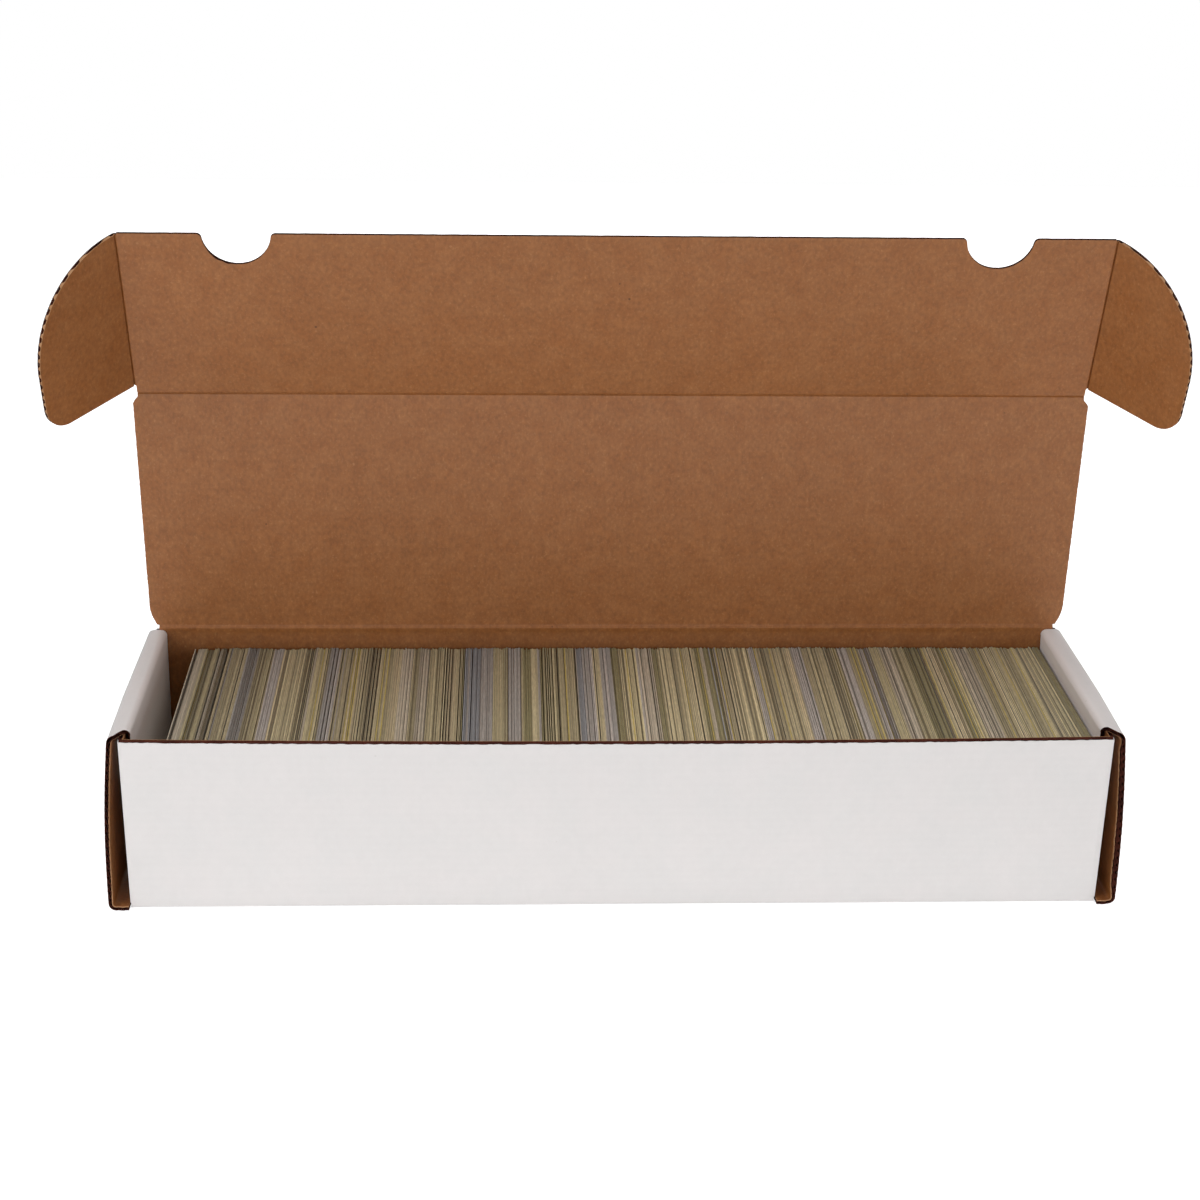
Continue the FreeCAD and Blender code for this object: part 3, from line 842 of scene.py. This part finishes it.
def cardMaterial():
    # edge = the card's own tint times streaks that run along it; face = a pale border round that tint
    material, tree, shader = newMaterial("coatedCardStock", cards)
    tint, face, border = (addNode(tree, "Attribute", output, {"attribute_name": word}) for word, output
                          in (("cardTint", "Color"), ("cardFace", "Fac"), ("cardRim", "Fac")))
    streaks = addNode(tree, "Mapping", 0, {"Scale": cards["streak"]},
                      {"Vector": addNode(tree, "TexCoord", "Object")})
    grain = addNode(tree, "TexNoise", "Fac", {"Scale": perMetre(cards["streakSize"]), "Detail": 2.0},
                    {"Vector": streaks})
    dim, bright = cards["streakRange"]
    level = addNode(tree, "MapRange", 0, {1: 0.3, 2: 0.7, 3: dim, 4: bright}, {0: grain})
    edge = addNode(tree, "VectorMath", 0, {"operation": "SCALE"}, {0: tint, "Scale": level})
    plain = addNode(tree, "Mix", 2, {"data_type": "RGBA", 7: linear(cards["border"])}, {0: border, 6: tint})
    colour = addNode(tree, "Mix", 2, {"data_type": "RGBA"}, {0: face, 6: edge, 7: plain})
    tree.links.new(colour, shader.inputs["Base Color"])
    return material


def cardOutline(height, length, inset):
    # rounded rectangle in (y, z) from its lower front corner, moved in by inset all round
    r = max(cards["cornerRadius"] - inset, cards["leastRadius"])
    angles = np.linspace(0, np.pi / 2, cards["cornerSteps"] + 1)
    corners = [(length - inset - r, inset + r, -90), (length - inset - r, height - inset - r, 0),
               (inset + r, height - inset - r, 90), (inset + r, inset + r, 180)]
    return np.concatenate([np.stack([y + r * np.cos(angles + math.radians(d)),
                                     z + r * np.sin(angles + math.radians(d))], -1)
                           for y, z, d in corners])


def cardRow():
    # Places, sizes and tints of the whole row at once: thickness and gaps are random, scaled so that
    # each pack fills its own length; the tints come in batches of one colour with a few odd cards.
    random = np.random.default_rng(cards["seed"])
    packs = len([n for n in frame["nodes"] if n.startswith("card_pack_")])
    count = packs * cards["perPack"]
    share = np.linspace(0, 1, count)  # 0 at the left end of the row, 1 at the right

    def batches(low, high):  # the same random value for each batch of neighbours
        values = random.uniform(low, high, count)
        return np.repeat(values, random.integers(1, cards["batchLongest"], count))[:count]
    gaps = random.exponential(cards["gapMean"], count) + cards["gapLeast"]
    gaps[random.random(count) < cards["gapShare"]] += cards["gap"]
    thick = cards["thickness"] * random.uniform(*cards["thicknessRange"], count)
    khaki = np.array([linear(c)[:3] for c in cards["tints"]])
    grey = np.array([linear(c)[:3] for c in cards["greys"]])
    pick = batches(0, 1)
    tints = khaki[(pick * len(khaki)).astype(int)]
    isGrey = batches(0, 1) < cards["greyShare"] - cards["greyFall"] * share ** 2
    tints[isGrey] = grey[(pick[isGrey] * len(grey)).astype(int)]
    uneven = np.interp(share, cards["unevenAt"], cards["uneven"])
    tints = tints * (batches(*cards["batchShade"]) * random.normal(1, uneven))[:, None]
    isYellow = random.random(count) < cards["yellowShare"] * (cards["yellowFirst"] + share)
    tints[isYellow] = linear(cards["yellow"])[:3]
    tints[random.random(count) < cards["darkShare"]] *= cards["dark"]
    # painted shade: the tints are darkened towards the left end of the row and lightened towards the right
    tints *= np.interp(share, cards["paintedShadeAt"], cards["ramp"])[:, None]
    back = cards["backShift"] - cards["backJitter"] * batches(0, 1) ** 3
    back -= cards["looseBack"] * random.random(count) ** 3
    top = cards["topShift"] - cards["topJitter"] * batches(0, 1) ** 2
    top -= cards["looseTop"] * random.random(count)
    return gaps, thick, np.clip(tints, 0, 1), back, top


cardStock = cardMaterial()
rowGaps, rowThick, rowTints, rowBack, rowTop = cardRow()
lastPack = len(rowTints) // cards["perPack"]


def cardPack(number):
    # each card is four loops of one outline, edge and border on its left and on its right face
    low, high = nodeBox("card_pack_%d" % number)
    chosen = slice((number - 1) * cards["perPack"], number * cards["perPack"])
    gaps, thick = rowGaps[chosen].copy(), rowThick[chosen]
    if number == 1:
        for card, gap in cards["firstGaps"].items():  # the first card stands by itself
            gaps[card - 1] += gap
    scale = (high[0] - low[0]) / (gaps + thick).sum()
    x0 = low[0] + np.concatenate([[0], np.cumsum((gaps + thick)[:-1])]) * scale
    x1 = x0 + thick * scale
    height, length = high[2] - low[2], high[1] - low[1]
    outline = cardOutline(height, length, 0.0)
    inner = cardOutline(height, length, cards["borderWidth"])
    count, m = len(thick), len(outline)
    fan = 0.0
    if number == lastPack:  # the last cards stand fanned: their front edges lean to the right
        late = smooth((np.linspace(0, 1, count) - cards["lastFanFrom"]) / (1 - cards["lastFanFrom"]))
        fan = cards["lastFan"] * late[:, None]
        x0, x1 = x0 + cards["lastShift"] * late, x1 + cards["lastShift"] * late
    loops = []
    for x, shape in ((x0, outline), (x0, inner), (x1, outline), (x1, inner)):
        y = low[1] + shape[:, 0] + rowBack[chosen][:, None]
        z = low[2] + shape[:, 1] + rowTop[chosen][:, None] * (shape[:, 1] > height / 2)
        loops.append(stack(x[:, None] + fan * (high[1] - y) / length, y, z))
    points = np.stack(loops, 1).reshape(-1, 3)  # card, loop, point
    i = np.arange(m)
    j = (i + 1) % m
    base = (np.arange(count) * 4 * m)[:, None, None]

    def band(a, b):  # quads between two loops of every card
        return (base + np.stack([a * m + i, a * m + j, b * m + j, b * m + i], -1)).reshape(-1, 4)
    edge = band(0, 2)[:, ::-1]
    quads = np.concatenate([edge, band(0, 1), band(3, 2)])
    caps = np.concatenate([(base[:, 0] + m + i)[:, ::-1], base[:, 0] + 3 * m + i])
    name = "cardPack%d" % number
    mesh = bpy.data.meshes.new(name)
    mesh.from_pydata((points * toMetres).tolist(), [], quads.tolist() + caps.tolist())
    mesh.materials.append(cardStock)
    rgba = np.concatenate([np.repeat(rowTints[chosen], 4 * m, 0), np.ones((count * 4 * m, 1))], 1)
    tint = mesh.attributes.new("cardTint", "FLOAT_COLOR", "POINT")
    tint.data.foreach_set("color", rgba.astype(np.float32).ravel())
    order = np.arange(len(quads) + len(caps))
    isRim = (order >= len(edge)) & (order < len(quads))
    for word, values in (("cardFace", order >= len(edge)), ("cardRim", isRim)):
        mesh.attributes.new(word, "FLOAT", "FACE").data.foreach_set("value", values.astype(np.float32))
    mesh.update()
    newPiece(name, mesh, "cards_%d" % number, ["card_pack_%d" % number])


for number in range(lastPack):
    cardPack(number + 1)
print("cards stacked:", len(rowTints))

# stage: a white table that keeps a soft shadow, and white all round
stage = {"reach": 1.2, "drop": 0.0002, "tableWhite": "#F8F8F8", "lift": 0.70, "surround": 0.16}


def tableTop():
    reach, z = stage["reach"], -stage["drop"]
    mesh = bpy.data.meshes.new("table")
    mesh.from_pydata([(-reach, -reach, z), (reach, -reach, z), (reach, reach, z), (-reach, reach, z)],
                     [], [(0, 1, 2, 3)])
    material = bpy.data.materials.new("paintedTable")
    material.use_nodes = True
    tree = material.node_tree
    tree.nodes.remove(tree.nodes["Principled BSDF"])
    diffuse = addNode(tree, "BsdfDiffuse", 0, {"Color": linear(stage["tableWhite"])})
    seen = addNode(tree, "LightPath", "Is Camera Ray")
    rays = seen.node.outputs
    for ray in (rays["Is Glossy Ray"], rays["Is Transmission Ray"]):
        seen = addNode(tree, "Math", 0, {"operation": "ADD", "use_clamp": True}, {0: seen, 1: ray})
    lift = addNode(tree, "Math", 0, {"operation": "MULTIPLY", 1: stage["lift"]}, {0: seen})
    glow = addNode(tree, "Emission", 0, {"Color": (1, 1, 1, 1)}, {"Strength": lift})
    both = addNode(tree, "AddShader", 0, {}, {0: diffuse, 1: glow})
    tree.links.new(both, tree.nodes["Material Output"].inputs["Surface"])
    mesh.materials.append(material)
    addObject("table", mesh)


def surroundings():
    world = bpy.data.worlds.new("whiteRoom")
    world.use_nodes = True
    scene.world = world
    tree = world.node_tree
    strength = addNode(tree, "Mix", 0, {"data_type": "FLOAT", 2: stage["surround"], 3: 1.0},
                       {0: addNode(tree, "LightPath", "Is Camera Ray")})
    background = tree.nodes["Background"]
    background.inputs["Color"].default_value = (1, 1, 1, 1)
    tree.links.new(strength, background.inputs["Strength"])


def standAt(thing, place, back, roll=0.0):
    # its Z points back, its X is level, square to Z, and then both turn about Z by the roll
    back = back / np.linalg.norm(back)
    level = np.cross([0, 0, 1], back)
    level /= np.linalg.norm(level)
    above = np.cross(back, level)
    right = math.cos(roll) * level + math.sin(roll) * above
    rows = np.stack([right, np.cross(back, right), back], 1)
    thing.matrix_world = Matrix([[*row, p] for row, p in zip(rows, place)] + [[0, 0, 0, 1]])


# place, aim, width, height and watts
lamps = {
    "overheadSoftbox": ((0, -0.05, 1.4), (0, -0.06, 0), 2.4, 0.8, 11.2),
    "frontSoftbox": ((0, -1.6, 0.15), (0, 0, 0.15), 2.6, 0.25, 11.8),
    "leftSoftbox": ((-1.2, -0.9, 0.8), (0, 0, 0.1), 0.7, 0.7, 5.0),
    "rightSoftbox": ((1.7, 0.3, 0.15), (0.2, 0, 0.1), 0.6, 0.25, 6.0),
    "backSoftbox": ((0, 1.7, 0.35), (0, 0, 0.12), 0.9, 0.5, 9.0),
}


def softLamp(name, place, aim, width, height, power):
    data = bpy.data.lights.new(name, "AREA")
    data.shape, data.size, data.size_y, data.energy = "RECTANGLE", width, height, power
    lamp = addObject(name, data)
    standAt(lamp, place, np.subtract(place, aim))
    lamp.visible_camera = False


tableTop()
surroundings()
for name, values in lamps.items():
    softLamp(name, *values)

# millimetres, and degrees below level, to the right and rolled
camera = {"place": (-42.59, -765.84, 444.13), "lens": 64.44, "down": 23.69, "right": 2.691, "roll": 1.061}


def addCamera():
    # looks along (sin a cos d, cos a cos d, -sin d), then rolls about that line
    a, d, roll = (math.radians(camera[k]) for k in ("right", "down", "roll"))
    forward = np.array([math.sin(a) * math.cos(d), math.cos(a) * math.cos(d), -math.sin(d)])
    data = bpy.data.cameras.new("camera")
    data.lens, data.sensor_fit = camera["lens"], "HORIZONTAL"
    view = addObject("camera", data)
    standAt(view, np.array(camera["place"]) * toMetres, -forward, roll)
    scene.camera = view


addCamera()
scene.view_settings.view_transform = "Standard"
